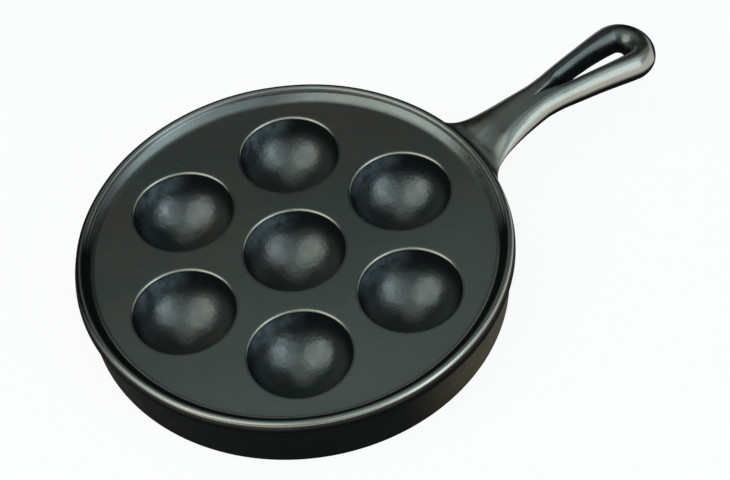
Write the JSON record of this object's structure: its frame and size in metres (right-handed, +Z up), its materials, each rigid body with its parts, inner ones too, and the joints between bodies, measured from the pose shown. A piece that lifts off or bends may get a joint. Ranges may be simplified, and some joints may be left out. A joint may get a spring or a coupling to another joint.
{
  "type": "cast iron griddle",
  "caption": "Round cast iron griddle pan with hemispherical wells for filled pancakes, a raised rim, a deep skirt that it stands on, and a flat handle that opens into a hanging loop.",
  "frame": {"origin": "bottom centre of the whole bounding box, on the surface that the pan stands on", "axes": "+X from the round pan out along the handle to its tip, +Z up out of the wells, +Y to the left when the handle points away"},
  "size_m": [0.3468, 0.2286, 0.0479],
  "materials": {
    "seasoned_iron": "satin black seasoned surface with fine casting grain"
  },
  "bodies": {
    "root": {"cooking_plate": "seasoned_iron", "well_center": "seasoned_iron", "well_1": "seasoned_iron", "well_2": "seasoned_iron", "well_3": "seasoned_iron", "well_4": "seasoned_iron", "well_5": "seasoned_iron", "well_6": "seasoned_iron", "rim": "seasoned_iron", "side_skirt": "seasoned_iron", "handle_arm": "seasoned_iron", "handle_loop": "seasoned_iron"}
  },
  "joints": []
}
